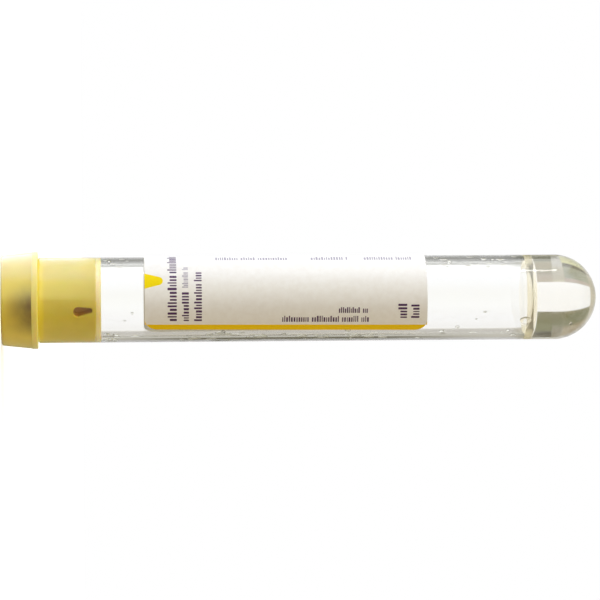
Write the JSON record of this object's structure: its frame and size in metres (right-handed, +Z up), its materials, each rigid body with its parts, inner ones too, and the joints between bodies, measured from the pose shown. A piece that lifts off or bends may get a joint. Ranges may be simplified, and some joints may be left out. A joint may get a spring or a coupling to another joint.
{
  "type": "blood collection tube",
  "caption": "Round-ended glass sample tube with a pale yellow rubber stopper, a wrapped paper label and a little clear additive in its dome.",
  "frame": {"origin": "the middle of the flat top of the stopper, which the tube stands on, upside down", "axes": "+Z up along the tube, from the stopper to the domed end; -Y is the front, at the middle of the label"},
  "size_m": [0.018, 0.018, 0.1115],
  "materials": {
    "glass_tube": "polished",
    "stopper": "satin",
    "label": "satin",
    "additive": "gloss"
  },
  "bodies": {
    "stopper": {"stopper": "stopper"},
    "tube": {"glass_tube": "glass_tube", "label": "label", "additive": "additive"}
  },
  "joints": [
    {"name": "stopper_pull", "type": "slide", "parent": "stopper", "child": "tube", "axis": [0, 0, 1], "range_m": [0, 0.03]}
  ]
}
